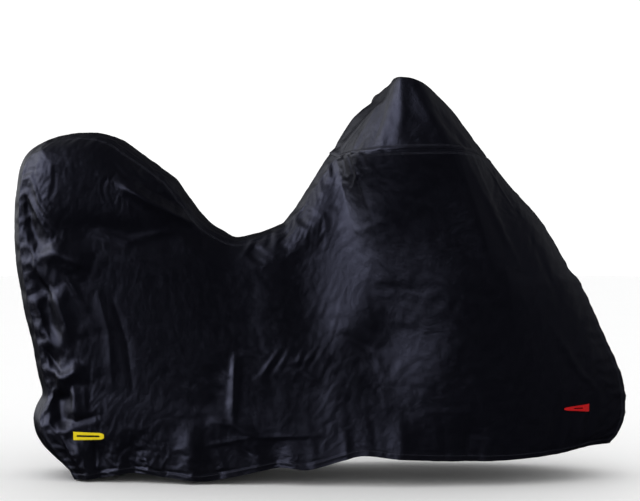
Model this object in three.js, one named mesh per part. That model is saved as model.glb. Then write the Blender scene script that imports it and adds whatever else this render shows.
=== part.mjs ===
// A fitted cover for a large scooter with a luggage box, hanging as it does over the machine.
// Millimetres. +X is the front, -Y is the right-hand side, +Z is up, and the floor is z = 0.
import * as THREE from "three";

const clothThickness = 1.6;
const webbingThickness = 1.8;
const seamGap = 0.35; // each panel's edge stands this far back from the line of the seam
const sewnStandOff = 0.5; // the sewn end of a webbing loop lies this far outside the cloth
const loopStandOff = 2.0; // and the rest of the loop this far

// How finely the cloth is divided.
const rowsDown = 24; // from the seams to the hem on a side panel, and along the two ends of the strips
const columnsOverBox = 20; // from the box's rear corner to halfway down its front slope
const columnsOverSaddle = 22; // from there to the cap's rear corner
const columnsBetweenCapRows = [3, 2, 2, 1, 1, 2, 3, 4]; // from each row of the cap's table to the next
const hemShareAtBox = 0.2; // share of the hem that hangs below the box's columns
const hemShareAtCap = 0.58; // share of the hem behind the cap's columns
const facetColumns = 3; // from the cap's seam up to its ridge
const stripColumns = 4; // across the two strips
const crownColumns = 10; // across the cap between its two ridges

// The two lines that bound the centre of the cover, where the strips meet the side panels and, on the cap,
// where the mirrors hold the cloth up. half is the distance from the middle, rise is how far the middle of
// the cloth stands outside the two lines, and groove is how deep it dips halfway to either line. corner is
// how far it rounds down over a mirror, and turn is how far forward the right-hand line lies because the
// handlebar is turned.
const spineColumns = ["x", "z", "half", "rise", "groove", "corner", "turn"];
const behindRows = [
  [-818, 4, 165, 6, 0, 0, 0],
  [-858, 60, 160, 30, 0, 0, 0],
  [-922, 136, 155, 44, 0, 0, 0],
  [-940, 198, 150, 46, 0, 0, 0],
  [-915, 277, 142, 42, 0, 0, 0],
  [-930, 360, 145, 42, 0, 0, 0],
  [-953, 480, 150, 42, 0, 0, 0],
  [-980, 606, 155, 44, 0, 0, 0],
  [-1003, 752, 160, 43, 0, 0, 0],
  [-1008, 890, 165, 40, 0, 0, 0],
  [-1000, 1006, 165, 38, 0, 0, 0],
  [-980, 1077, 160, 36, 0, 0, 0],
  [-930, 1120, 155, 30, 0, 0, 0],
];
const overRows = [
  [-860, 1145, 150, 26, 0, 0, 0],
  [-765, 1154, 145, 22, 0, 0, 0],
  [-700, 1137, 140, 22, 0, 0, 0],
  [-640, 1098, 135, 22, 0, 0, 0],
  [-566, 1046, 130, 20, 0, 0, 0],
  [-512, 1002, 128, 20, 0, 0, 0],
  [-462, 936, 125, 20, 0, 0, 0],
  [-402, 862, 120, 20, 0, 0, 0],
  [-340, 820, 115, 18, 0, 0, 0],
  [-280, 801, 110, 18, 0, 0, 0],
  [-210, 815, 110, 18, 0, 0, 0],
  [-158, 832, 110, 18, 0, 0, 0],
  [-108, 858, 110, 20, 0, 0, 0],
  [-42, 940, 112, 24, 0, 0, 0],
  [20, 1038, 116, 26, 0, 0, 0],
  [55, 1085, 120, 28, 0, 0, 0],
];
const rowsToBoxSlope = 5; // from the box's rear corner to halfway down its front slope
const capRows = [
  [138, 1203, 225, 34, 16, 0, 11],
  [190, 1268, 305, 22, 18, 8, 21],
  [216, 1339, 345, -14, 0, 18, 28],
  [257, 1344, 352, -20, 0, 20, 28],
  [296, 1334, 350, -34, 0, 18, 28],
  [342, 1302, 308, -30, 0, 8, 22],
  [430, 1224, 240, -22, 0, 0, 10],
  [570, 1064, 190, -28, 0, 0, 0],
];
const downRows = [
  [640, 983, 155, -16, 0, 0, 0],
  [733, 887, 120, -4, 0, 0, 0],
  [774, 826, 120, 4, 0, 0, 0],
  [814, 755, 125, 8, 0, 0, 0],
  [843, 701, 130, 8, 0, 0, 0],
  [873, 667, 130, 8, 0, 0, 0],
  [954, 492, 130, 10, 0, 0, 0],
  [1018, 346, 120, 10, 0, 0, 0],
  [1033, 248, 110, 8, 0, 0, 0],
  [1018, 172, 110, 4, 0, 0, 0],
  [980, 118, 108, 0, 0, 0, 0],
];

// The cap's seam, seen from above, one row under each row of the ridge that starts and ends on it.
const capSeamColumns = ["x", "half", "z"];
const capSeamRows = [
  [55, 120, 1085],
  [98, 240, 1086],
  [150, 328, 1088],
  [228, 374, 1092],
  [330, 388, 1094],
  [436, 376, 1095],
  [492, 318, 1089],
  [536, 250, 1076],
  [570, 190, 1064],
];

// The hem of a side panel, from behind to the front.
const hemColumns = ["x", "z", "half"];
const hemRows = [
  [-818, 4, 165],
  [-740, 12, 196],
  [-620, 32, 214],
  [-500, 20, 228],
  [-385, 10, 240],
  [-290, 24, 250],
  [-190, 46, 260],
  [-120, 58, 268],
  [-40, 52, 278],
  [80, 86, 290],
  [140, 100, 295],
  [240, 92, 300],
  [400, 84, 300],
  [600, 84, 280],
  [780, 98, 232],
  [900, 116, 165],
  [980, 118, 108],
];

// How far a side panel swells outside the straight line from its seam to its hem, because of what it covers.
const bellyColumns = ["x", "swell"];
const bellyRows = [
  [-1020, 40],
  [-880, 72],
  [-650, 84],
  [-450, 74],
  [-250, 62],
  [-100, 58],
  [60, 26],
  [200, 0],
  [560, 10],
  [720, 56],
  [900, 48],
  [1030, 16],
];
const outlineReach = 3; // how fast the outline of the two ends dies away along a side panel
const endReach = 8; // how fast the distance of the two ends from the middle dies away along it
const shoulder = 120; // over this distance from a seam the swelling grows to its full size
const seamHold = 45; // over this distance from a seam the folds grow to their full depth
const foldFade = 0.3; // share of its path over which a fold dies away at each end

// The main folds of a side panel, seen from the side: how wide each is, how far it stands out, or in where
// that is less than zero, and the x and z of the points that it runs through.
const foldColumns = ["name", "width", "out", "path"];
const foldRows = [
  ["furrow down the box's rear edge", 26, -20, [[-992, 1000], [-973, 887], [-918, 744]]],
  ["hollow under the box", 52, -24, [[-930, 852], [-625, 816], [-330, 806]]],
  ["taut fold from the box to the saddle", 24, 22, [[-700, 1020], [-572, 938], [-320, 822]]],
  ["furrow above the taut fold", 25, -16, [[-640, 1040], [-530, 956], [-420, 890]]],
  ["bulge under the hollow", 36, 24, [[-915, 790], [-840, 744], [-752, 712]]],
  ["deep furrow behind", 28, -22, [[-960, 715], [-914, 622], [-896, 524], [-860, 455]]],
  ["rib in front of the deep furrow", 28, 10, [[-888, 656], [-822, 457]]],
  ["furrow over the crumple", 24, -13, [[-930, 445], [-868, 382]]],
  ["crumple", 26, 17, [[-892, 365], [-850, 340], [-781, 388]]],
  ["hollow below the pinch", 34, -28, [[-863, 310], [-866, 240], [-850, 165]]],
  ["rib below the crumple", 24, 12, [[-812, 325], [-808, 203]]],
  ["lump at the rear hem", 28, 13, [[-822, 150], [-760, -60]]],
  ["dip at the rear hem", 28, -12, [[-735, 160], [-722, -100]]],
  ["upright fold amidships", 14, 8, [[-279, 440], [-284, 330], [-291, 190]]],
  ["hollow behind the upright fold", 40, -5, [[-351, 400], [-341, 232]]],
  ["hollow in front of the upright fold", 62, -6, [[-220, 330], [-60, 300], [60, 285]]],
  ["edge over the hollow", 24, 2, [[-290, 414], [-110, 422]]],
  ["edge under the hollow", 20, 4, [[-376, 218], [-300, 196], [-200, 168]]],
  ["furrow below the saddle", 26, -10, [[-236, 740], [-200, 790]]],
  ["furrow in front of the saddle", 26, -12, [[-80, 860], [-40, 920]]],
  ["broad ridge below the handlebar", 80, 26, [[105, 1010], [140, 740], [150, 400]]],
  ["soft hollow beside it", 85, -14, [[-90, 880], [-60, 680], [-20, 400]]],
  ["fall in front of the broad ridge", 110, -14, [[280, 970], [300, 680], [300, 330]]],
  ["taut fold down to the nose", 50, 12, [[430, 1010], [560, 760], [700, 500]]],
  ["hem wave under the saddle", 42, 14, [[-430, 220], [-420, -120]]],
  ["hem dip beside it", 40, -12, [[-620, 190], [-610, -100]]],
  ["hem dip amidships", 40, -12, [[-150, 190], [-140, -60]]],
  ["hem wave in front", 50, 12, [[260, 250], [270, -40]]],
  ["hem dip in front", 50, -12, [[480, 250], [480, -40]]],
];
// The left-hand panel has the same folds, a little further forward and shallower.
const leftFoldShift = 26;
const leftFoldShare = 0.85;

// The webbing loops. x and z are the middle of the sewn end, way is 1 where the loop runs forward from there,
// root and tip are the heights of its two ends, the slot is measured from the sewn end, and reach is how far
// round each of its points the loop clears the cloth.
const loopColumns = [
  "name", "x", "z", "way", "length", "root", "tip", "slotFrom", "slotTo", "slotHigh", "reach",
];
const loopRows = [
  ["rear_loop", -820, 154, 1, 104, 28, 22, 12, 90, 6, 5],
  ["front_loop", 893, 249, -1, 90, 26, 9, 24, 56, 3, 1],
];
const tipRoundFrom = 0.85; // share of a loop's length after which its tip rounds off
const tipRoundness = 0.75; // 1 would bring the tip to a point
const loopSteps = 12; // on each of the two legs

const nylonLook = { color: 0x14151c, roughness: 0.55, metalness: 0 };
const yellowLook = { color: 0xe8d21c, roughness: 0.8, metalness: 0 };
const redLook = { color: 0xd8232a, roughness: 0.8, metalness: 0 };

// Rows of a table as objects, one property for each named column.
function table(columns, rows) {
  return rows.map((row) => Object.fromEntries(columns.map((name, i) => [name, row[i]])));
}

// A smooth curve through rows. Its parameter is the distance along the path that the named columns trace.
function smooth(rows, along) {
  const at = [0];
  for (let i = 1; i < rows.length; i++) {
    const step = along.map((name) => rows[i][name] - rows[i - 1][name]);
    at.push(at[i - 1] + Math.hypot(...step));
  }
  const last = rows.length - 1;
  const slope = (name, i) => {
    const before = Math.max(i - 1, 0);
    const after = Math.min(i + 1, last);
    return (rows[after][name] - rows[before][name]) / (at[after] - at[before]);
  };
  const point = (distance) => {
    const d = Math.min(Math.max(distance, 0), at[last]);
    let i = 0;
    while (i < last - 1 && at[i + 1] < d) i++;
    const span = at[i + 1] - at[i];
    const t = (d - at[i]) / span;
    const result = {};
    for (const name of Object.keys(rows[0])) {
      const from = rows[i][name];
      const to = rows[i + 1][name];
      const leave = slope(name, i) * span;
      const arrive = slope(name, i + 1) * span;
      result[name] =
        from * (1 + 2 * t) * (1 - t) ** 2 +
        leave * t * (1 - t) ** 2 +
        to * t * t * (3 - 2 * t) +
        arrive * t * t * (t - 1);
    }
    return result;
  };
  return { at, length: at[last], point };
}

const mix = (a, b, t) => a + (b - a) * t;
const ease = (t) => {
  const s = Math.min(Math.max(t, 0), 1);
  return s * s * (3 - 2 * s);
};

// The spine as one curve, with the distances where its four stretches meet.
const spineRows = table(spineColumns, [...behindRows, ...overRows, ...capRows, ...downRows]);
const spine = smooth(spineRows, ["x", "z"]);
const boxCorner = spine.at[behindRows.length - 1];
const boxSlope = spine.at[behindRows.length - 1 + rowsToBoxSlope];
const capRear = spine.at[behindRows.length + overRows.length - 1];
const capFront = spine.at[behindRows.length + overRows.length + capRows.length - 1];
const capSeam = smooth(table(capSeamColumns, capSeamRows), ["x"]);
const hem = smooth(table(hemColumns, hemRows), ["x"]);
const belly = smooth(table(bellyColumns, bellyRows), ["x"]);
const folds = table(foldColumns, foldRows);

// Evenly spaced values from one to another.
const spread = (from, to, parts) => Array.from({ length: parts + 1 }, (_, i) => mix(from, to, i / parts));

// The distances along the spine at which the cloth is worked out, stretch by stretch.
const stationsBehind = spread(0, boxCorner, rowsDown);
const stationsOver = [
  ...spread(boxCorner, boxSlope, columnsOverBox),
  ...spread(boxSlope, capRear, columnsOverSaddle).slice(1),
];
const stationsCap = [capRear];
columnsBetweenCapRows.forEach((parts, i) => {
  const firstRow = behindRows.length + overRows.length - 1 + i;
  stationsCap.push(...spread(spine.at[firstRow], spine.at[firstRow + 1], parts).slice(1));
});
const stationsDown = spread(capFront, spine.length, rowsDown);
// How far along the hem each column of a side panel ends, as a share of its length.
const hemShares = [
  ...spread(0, hemShareAtBox, columnsOverBox),
  ...spread(hemShareAtBox, hemShareAtCap, columnsOverSaddle).slice(1),
  ...spread(hemShareAtCap, 1, stationsCap.length - 1).slice(1),
];

// A point of the cloth between the two spine lines. across is -1 on the right-hand line and 1 on the left.
function crown(distance, across) {
  const here = spine.point(distance);
  const step = 1;
  const ahead = spine.point(distance + step);
  const behind = spine.point(distance - step);
  const run = Math.hypot(ahead.x - behind.x, ahead.z - behind.z);
  const middle = here.rise * (1 - across ** 2) - here.groove * Math.sin(Math.PI * across) ** 2;
  const out = middle - here.corner * across ** 8;
  return new THREE.Vector3(
    here.x - here.turn * across - (out * (ahead.z - behind.z)) / run,
    here.half * across,
    here.z + (out * (ahead.x - behind.x)) / run,
  );
}

// A point of the cap's seam on one side, under the ridge at this distance along the spine.
function capSeamPoint(distance, side) {
  const knots = spine.at.slice(behindRows.length + overRows.length - 1);
  let i = 0;
  while (i < capSeamRows.length - 2 && knots[i + 1] < distance) i++;
  const share = (distance - knots[i]) / (knots[i + 1] - knots[i]);
  const there = capSeam.point(mix(capSeam.at[i], capSeam.at[i + 1], share));
  return new THREE.Vector3(there.x, side * there.half, there.z);
}

// How far the folds move the cloth outwards at a place seen from the side. Each dies away at both ends.
function foldAt(x, z, side) {
  const shift = side > 0 ? leftFoldShift : 0;
  const share = side > 0 ? leftFoldShare : 1;
  return folds.reduce((sum, fold) => {
    const { away, along } = placeOnPath(x - shift, z, fold.path);
    const depth = fold.out * ease(Math.min(along, 1 - along) / foldFade);
    return sum + share * depth * Math.exp(-((away / fold.width) ** 2));
  }, 0);
}

// How far a place is from a path, and how far along the path its nearest point lies, from 0 to 1.
function placeOnPath(x, z, path) {
  const lengths = path.slice(1).map(([bx, bz], i) => Math.hypot(bx - path[i][0], bz - path[i][1]));
  const total = lengths.reduce((sum, length) => sum + length, 0);
  const found = { away: Infinity, along: 0 };
  let done = 0;
  lengths.forEach((length, i) => {
    const [ax, az] = path[i];
    const [bx, bz] = path[i + 1];
    const share = ((x - ax) * (bx - ax) + (z - az) * (bz - az)) / length ** 2;
    const t = Math.min(Math.max(share, 0), 1);
    const away = Math.hypot(x - mix(ax, bx, t), z - mix(az, bz, t));
    if (away < found.away) Object.assign(found, { away, along: (done + t * length) / total });
    done += length;
  });
  return found;
}

// A side panel: a net stretched between its four edges, then swollen and folded. side is -1 for the right.
function sidePanel(side) {
  const top = [
    ...stationsOver.map((d) => crown(d, side)),
    ...stationsCap.slice(1).map((d) => capSeamPoint(d, side)),
  ];
  const columns = top.length - 1;
  const bottom = hemShares.map((share) => {
    const there = hem.point(hem.length * share);
    return new THREE.Vector3(there.x, side * there.half, there.z);
  });
  const back = [...stationsBehind].reverse().map((d) => crown(d, side));
  const front = stationsDown.map((d) => crown(d, side));
  bottom[0] = back[rowsDown];
  bottom[columns] = front[rowsDown];
  // How far down its column a height is, from 0 at the top to 1 at the hem.
  const lowered = (i, z) => Math.min(Math.max((top[i].z - z) / (top[i].z - bottom[i].z), 0), 1);
  const straight = (i, z) => mix(top[i].y, bottom[i].y, lowered(i, z));
  // The distance from the middle follows the top and the hem, and the two ends only close to them.
  const heldHalf = (i, j, u, z) => {
    const backOff = back[j].y - straight(0, back[j].z);
    const frontOff = front[j].y - straight(columns, front[j].z);
    return straight(i, z) + backOff * (1 - u) ** endReach + frontOff * u ** endReach;
  };
  const net = [];
  for (let i = 0; i <= columns; i++) {
    const u = hemShares[i];
    const atBack = (1 - u) ** outlineReach;
    const atFront = u ** outlineReach;
    const column = [];
    for (let j = 0; j <= rowsDown; j++) {
      const w = j / rowsDown;
      const p = new THREE.Vector3()
        .addScaledVector(top[i], 1 - w)
        .addScaledVector(bottom[i], w)
        .addScaledVector(back[j], atBack)
        .addScaledVector(front[j], atFront)
        .addScaledVector(top[0], -atBack * (1 - w))
        .addScaledVector(top[columns], -atFront * (1 - w))
        .addScaledVector(bottom[0], -atBack * w)
        .addScaledVector(bottom[columns], -atFront * w);
      p.y = heldHalf(i, j, u, p.z);
      const fromSeam = Math.min(p.distanceTo(top[i]), p.distanceTo(back[j]), p.distanceTo(front[j]));
      const round = 1 - (1 - Math.min(fromSeam / shoulder, 1)) ** 2;
      const swell = belly.point(p.x - bellyRows[0][0]).swell;
      const swollen = swell * round * (1 - lowered(i, p.z));
      p.y += side * (swollen + foldAt(p.x, p.z, side) * ease(fromSeam / seamHold));
      column.push(p);
    }
    net.push(column);
  }
  return net;
}

// A strip of the crown, one column for each station.
function strip(stations) {
  return stations.map((d) =>
    Array.from({ length: stripColumns + 1 }, (_, j) => crown(d, 1 - (2 * j) / stripColumns)),
  );
}

// The cap: from the left-hand seam up to its ridge, over to the right-hand ridge and down to that seam.
function capNet() {
  return stationsCap.map((d) => {
    const seam = capSeamPoint(d, -1);
    const leftSeam = capSeamPoint(d, 1);
    const left = crown(d, 1);
    const right = crown(d, -1);
    const column = [];
    for (let j = 0; j < facetColumns; j++) column.push(leftSeam.clone().lerp(left, j / facetColumns));
    for (let j = 0; j <= crownColumns; j++) column.push(crown(d, 1 - (2 * j) / crownColumns));
    for (let j = 1; j <= facetColumns; j++) column.push(right.clone().lerp(seam, j / facetColumns));
    return column;
  });
}

const keyOf = (p) => [p.x, p.y, p.z].map((v) => Math.round(v * 1000)).join();

// The triangles of a net, each quad cut along its shorter diagonal, as triples of [column, row].
function netTriangles(net) {
  const triangles = [];
  for (let i = 0; i < net.length - 1; i++)
    for (let j = 0; j < net[0].length - 1; j++) {
      const a = [i, j];
      const b = [i + 1, j];
      const c = [i + 1, j + 1];
      const d = [i, j + 1];
      const shorter = net[i][j].distanceTo(net[i + 1][j + 1]) < net[i + 1][j].distanceTo(net[i][j + 1]);
      const pair = shorter ? [[a, b, c], [a, c, d]] : [[a, b, d], [b, c, d]];
      for (const triangle of pair) {
        const keys = new Set(triangle.map(([m, n]) => keyOf(net[m][n])));
        if (keys.size === 3) triangles.push(triangle);
      }
    }
  return triangles;
}

// Outward normals at every point, shared by the panels that meet there.
function sharedNormals(panels) {
  const normals = new Map();
  for (const panel of panels)
    for (const triangle of panel.triangles) {
      const [a, b, c] = triangle.map(([i, j]) => panel.net[i][j]);
      const face = new THREE.Vector3().crossVectors(b.clone().sub(a), c.clone().sub(a));
      for (const p of [a, b, c]) {
        const key = keyOf(p);
        if (!normals.has(key)) normals.set(key, new THREE.Vector3());
        normals.get(key).add(face);
      }
    }
  for (const normal of normals.values()) normal.normalize();
  return normals;
}

// How each point on a sewn edge moves so that the panel stops short of its seam.
function edgeShifts(panel) {
  const { net, sewn } = panel;
  const lastColumn = net.length - 1;
  const lastRow = net[0].length - 1;
  const inward = new Map();
  const pull = (i, j, m, n) => {
    const key = keyOf(net[i][j]);
    if (!inward.has(key)) inward.set(key, new THREE.Vector3());
    inward.get(key).add(net[m][n].clone().sub(net[i][j]).normalize());
  };
  for (let i = 0; i <= lastColumn; i++) {
    if (sewn.includes("firstRow")) pull(i, 0, i, 1);
    if (sewn.includes("lastRow")) pull(i, lastRow, i, lastRow - 1);
  }
  for (let j = 0; j <= lastRow; j++) {
    if (sewn.includes("firstColumn")) pull(0, j, 1, j);
    if (sewn.includes("lastColumn")) pull(lastColumn, j, lastColumn - 1, j);
  }
  for (const direction of inward.values()) direction.normalize().multiplyScalar(seamGap);
  return inward;
}

// A closed sheet of cloth: the net outside, the same net inside it, and a wall all round the edge.
function sheetGeometry(panel, normals) {
  const { net, triangles } = panel;
  const shifts = edgeShifts(panel);
  const none = new THREE.Vector3();
  const outer = net.map((column) => column.map((p) => p.clone().add(shifts.get(keyOf(p)) ?? none)));
  const inner = net.map((column, i) =>
    column.map((p, j) => outer[i][j].clone().addScaledVector(normals.get(keyOf(p)), -clothThickness)),
  );
  const corners = [];
  for (const [a, b, c] of triangles) {
    corners.push(...[a, b, c].map(([i, j]) => outer[i][j]));
    corners.push(...[c, b, a].map(([i, j]) => inner[i][j]));
  }
  const lastColumn = net.length - 1;
  const lastRow = net[0].length - 1;
  const rim = [];
  for (let i = 0; i < lastColumn; i++) rim.push([i, 0]);
  for (let j = 0; j < lastRow; j++) rim.push([lastColumn, j]);
  for (let i = lastColumn; i > 0; i--) rim.push([i, lastRow]);
  for (let j = lastRow; j > 0; j--) rim.push([0, j]);
  rim.forEach(([i, j], index) => {
    const [m, n] = rim[(index + 1) % rim.length];
    if (keyOf(net[i][j]) === keyOf(net[m][n])) return;
    corners.push(outer[i][j], inner[i][j], inner[m][n]);
    corners.push(outer[i][j], inner[m][n], outer[m][n]);
  });
  return new THREE.BufferGeometry().setFromPoints(corners);
}

// How far out the right-hand panel stands at a place seen from the side.
function panelOutAt(panel, x, z) {
  const place = new THREE.Vector3(x, 0, z);
  const weights = new THREE.Vector3();
  const rounding = 1e-6;
  for (const triangle of panel.triangles) {
    const corners = triangle.map(([i, j]) => panel.net[i][j]);
    const flat = corners.map((p) => new THREE.Vector3(p.x, 0, p.z));
    const found = THREE.Triangle.getBarycoord(place, ...flat, weights);
    if (found && Math.min(...weights) > -rounding)
      return corners.reduce((sum, p, k) => sum + p.y * weights.getComponent(k), 0);
  }
  throw new Error("no cloth at " + x + ", " + z);
}

// The upper half of a ring's outline, from one end to the other.
function upperEdge(from, to, startHeight, endHeight) {
  const edge = [[from, 0]];
  for (let k = 1; k < loopSteps; k++) {
    const along = (1 - Math.cos((Math.PI * k) / loopSteps)) / 2;
    const past = Math.max(along - tipRoundFrom, 0) / (1 - tipRoundFrom);
    const half = mix(startHeight, endHeight, along) / 2;
    edge.push([mix(from, to, along), half * Math.sqrt(1 - tipRoundness * past * past)]);
  }
  return [...edge, [to, 0]];
}

// A loop of webbing laid flat, both legs side by side: a long ring round a slot, its sewn end on the cloth.
function loopGeometry(loop, panel) {
  const outside = upperEdge(0, loop.length, loop.root, loop.tip);
  const inside = upperEdge(loop.slotFrom, loop.slotTo, loop.slotHigh, loop.slotHigh);
  const ring = (points) => [...points, ...points.slice(1, -1).reverse().map(([x, z]) => [x, -z])];
  const { reach } = loop;
  const beside = [[0, 0], [reach, 0], [-reach, 0], [0, reach], [0, -reach]];
  const outermost = (x, z) => Math.min(...beside.map(([dx, dz]) => panelOutAt(panel, x + dx, z + dz)));
  const layers = [0, webbingThickness].map((deeper) =>
    [ring(outside), ring(inside)].map((points) =>
      points.map(([x, z]) => {
        const px = loop.x + loop.way * x;
        const pz = loop.z + z;
        const out = mix(sewnStandOff, loopStandOff, ease(x / loop.slotFrom)) + deeper;
        return new THREE.Vector3(px, outermost(px, pz) - out, pz);
      }),
    ),
  );
  const [[nearOut, nearIn], [farOut, farIn]] = layers;
  const corners = [];
  const quad = (...around) => {
    const [a, b, c, d] = loop.way > 0 ? around.reverse() : around;
    corners.push(a, b, c, a, c, d);
  };
  for (let k = 0; k < nearOut.length; k++) {
    const next = (k + 1) % nearOut.length;
    quad(farOut[k], farOut[next], farIn[next], farIn[k]);
    quad(nearIn[k], nearIn[next], nearOut[next], nearOut[k]);
    quad(nearOut[k], nearOut[next], farOut[next], farOut[k]);
    quad(farIn[k], farIn[next], nearIn[next], nearIn[k]);
  }
  return new THREE.BufferGeometry().setFromPoints(corners);
}

const panels = [
  { name: "right_side", net: sidePanel(-1), sewn: ["firstRow", "firstColumn", "lastColumn"], flip: true },
  { name: "left_side", net: sidePanel(1), sewn: ["firstRow", "firstColumn", "lastColumn"], flip: false },
  {
    name: "centre_strip",
    net: strip([...stationsBehind, ...stationsOver.slice(1)]),
    sewn: ["firstRow", "lastRow", "lastColumn"],
    flip: true,
  },
  { name: "cap", net: capNet(), sewn: ["firstRow", "lastRow", "firstColumn", "lastColumn"], flip: true },
  { name: "front_strip", net: strip(stationsDown), sewn: ["firstRow", "lastRow", "firstColumn"], flip: true },
];
// A net whose triangles would face in is turned over by running its rows the other way.
for (const panel of panels) {
  if (panel.flip) {
    panel.net = panel.net.map((column) => [...column].reverse());
    const swapped = { firstRow: "lastRow", lastRow: "firstRow" };
    panel.sewn = panel.sewn.map((edge) => swapped[edge] ?? edge);
  }
  panel.triangles = netTriangles(panel.net);
}
const normals = sharedNormals(panels);

const cover = new THREE.Group();
for (const panel of panels) {
  const mesh = new THREE.Mesh(sheetGeometry(panel, normals), new THREE.MeshStandardMaterial(nylonLook));
  mesh.name = panel.name;
  cover.add(mesh);
}
for (const loop of table(loopColumns, loopRows)) {
  const look = loop.name === "rear_loop" ? yellowLook : redLook;
  const mesh = new THREE.Mesh(loopGeometry(loop, panels[0]), new THREE.MeshStandardMaterial(look));
  mesh.name = loop.name;
  cover.add(mesh);
}

// The middle of the cover's box stands over the origin, and its lowest point is on the floor.
const box = new THREE.Box3().setFromObject(cover);
const middle = box.getCenter(new THREE.Vector3());
cover.position.set(-middle.x, -middle.y, -box.min.z);

export default cover;
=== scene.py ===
"""A fitted cover for a large scooter with a luggage box, dressed for rendering.

The tables are in millimetres, in the frame in which the cover was drawn up: +X is the front, -Y is the
right-hand side and +Z is up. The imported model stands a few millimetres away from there, as drawn_shift says.
"""

import math

import bmesh
import bpy
import numpy as np
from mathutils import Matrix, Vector, noise
from mathutils.bvhtree import BVHTree


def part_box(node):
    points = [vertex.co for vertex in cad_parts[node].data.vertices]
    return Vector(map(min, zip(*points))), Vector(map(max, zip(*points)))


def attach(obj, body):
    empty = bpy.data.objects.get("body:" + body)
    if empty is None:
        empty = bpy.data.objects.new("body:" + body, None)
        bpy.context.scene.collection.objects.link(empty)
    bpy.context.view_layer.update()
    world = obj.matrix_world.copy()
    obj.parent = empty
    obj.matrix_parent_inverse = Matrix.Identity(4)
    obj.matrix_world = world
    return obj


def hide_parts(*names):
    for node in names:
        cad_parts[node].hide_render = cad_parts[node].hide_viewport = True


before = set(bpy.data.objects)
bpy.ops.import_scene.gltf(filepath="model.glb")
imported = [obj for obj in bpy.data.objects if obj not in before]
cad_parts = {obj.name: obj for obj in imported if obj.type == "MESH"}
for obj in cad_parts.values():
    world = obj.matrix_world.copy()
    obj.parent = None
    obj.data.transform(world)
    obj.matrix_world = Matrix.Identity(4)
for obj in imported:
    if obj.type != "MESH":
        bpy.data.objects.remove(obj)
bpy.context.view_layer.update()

mm = 0.001
cloth_thickness = 1.6
webbing_thickness = 1.8
seam_gap = 0.35  # each panel's edge stands this far back from the line of the seam
same_point = 0.01  # points closer than this are one point
sharp_from = 60  # degrees between two faces, from which their edge is sharp
no_hem = 1000.0  # stands for the distance to the hem where a panel has none

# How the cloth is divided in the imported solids, and how much finer each piece is here.
rows_down = 24
columns_over_box = 20
columns_over_saddle = 22
columns_between_cap_rows = [3, 2, 2, 1, 1, 2, 3, 4]
hem_share_at_box = 0.2
hem_share_at_cap = 0.58
finer_right = 5
finer_left = 4
finer_strip = 5
finer_cap = 7
side_rows_right = 156
side_rows_left = 120
strip_rows = 24
facet_rows = 26
crown_rows = 44
side_edge_share = 0.35  # by this share a net's rows lie closer together at its edges than on average
strip_edge_share = 0.45
crown_edge_share = 0.3
facet_power = 1.35  # above 1, the rows of the cap's flanks lie closest together at the seam

# The two lines that bound the centre of the cover, from the hem behind, over the box, the saddle and the cap,
# to the hem in front.
spine_columns = ["x", "z", "half", "rise", "groove", "corner", "turn"]
behind_rows = [
    [-818, 4, 165, 6],
    [-858, 60, 160, 30],
    [-922, 136, 155, 44],
    [-940, 198, 150, 46],
    [-915, 277, 142, 42],
    [-930, 360, 145, 42],
    [-953, 480, 150, 42],
    [-980, 606, 155, 44],
    [-1003, 752, 160, 43],
    [-1008, 890, 165, 40],
    [-1000, 1006, 165, 38],
    [-980, 1077, 160, 36],
    [-930, 1120, 155, 30],
]
over_rows = [
    [-860, 1145, 150, 26],
    [-765, 1154, 145, 22],
    [-700, 1137, 140, 22],
    [-640, 1098, 135, 22],
    [-566, 1046, 130, 20],
    [-512, 1002, 128, 20],
    [-462, 936, 125, 20],
    [-402, 862, 120, 20],
    [-340, 820, 115, 18],
    [-280, 801, 110, 18],
    [-210, 815, 110, 18],
    [-158, 832, 110, 18],
    [-108, 858, 110, 20],
    [-42, 940, 112, 24],
    [20, 1038, 116, 26],
    [55, 1085, 120, 28],
]
rows_to_box_slope = 5
cap_rows = [
    [138, 1203, 225, 34, 16, 0, 11],
    [190, 1268, 305, 22, 18, 8, 21],
    [216, 1339, 345, -14, 0, 18, 28],
    [257, 1344, 352, -20, 0, 20, 28],
    [296, 1334, 350, -34, 0, 18, 28],
    [342, 1302, 308, -30, 0, 8, 22],
    [430, 1224, 240, -22, 0, 0, 10],
    [570, 1064, 190, -28, 0, 0, 0],
]
down_rows = [
    [640, 983, 155, -16],
    [733, 887, 120, -4],
    [774, 826, 120, 4],
    [814, 755, 125, 8],
    [843, 701, 130, 8],
    [873, 667, 130, 8],
    [954, 492, 130, 10],
    [1018, 346, 120, 10],
    [1033, 248, 110, 8],
    [1018, 172, 110, 4],
    [980, 118, 108, 0],
]
cap_seam_columns = ["x", "half", "z"]
cap_seam_rows = [
    [55, 120, 1085],
    [98, 240, 1086],
    [150, 328, 1088],
    [228, 374, 1092],
    [330, 388, 1094],
    [436, 376, 1095],
    [492, 318, 1089],
    [536, 250, 1076],
    [570, 190, 1064],
]
hem_columns = ["x", "z", "half"]
hem_rows = [
    [-818, 4, 165],
    [-740, 12, 196],
    [-620, 32, 214],
    [-500, 20, 228],
    [-385, 10, 240],
    [-290, 24, 250],
    [-190, 46, 260],
    [-120, 58, 268],
    [-40, 52, 278],
    [80, 86, 290],
    [140, 100, 295],
    [240, 92, 300],
    [400, 84, 300],
    [600, 84, 280],
    [780, 98, 232],
    [900, 116, 165],
    [980, 118, 108],
]
belly_columns = ["x", "swell"]
belly_rows = [
    [-1020, 40],
    [-880, 72],
    [-650, 84],
    [-450, 74],
    [-250, 62],
    [-100, 58],
    [60, 26],
    [200, 0],
    [560, 10],
    [720, 56],
    [900, 48],
    [1030, 16],
]
outline_reach = 3  # how fast the outline of the two ends dies away along a side panel
end_reach = 8  # how fast the distance of the two ends from the middle dies away along it
shoulder = 120  # over this distance from a seam the swelling grows to its full size
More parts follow.
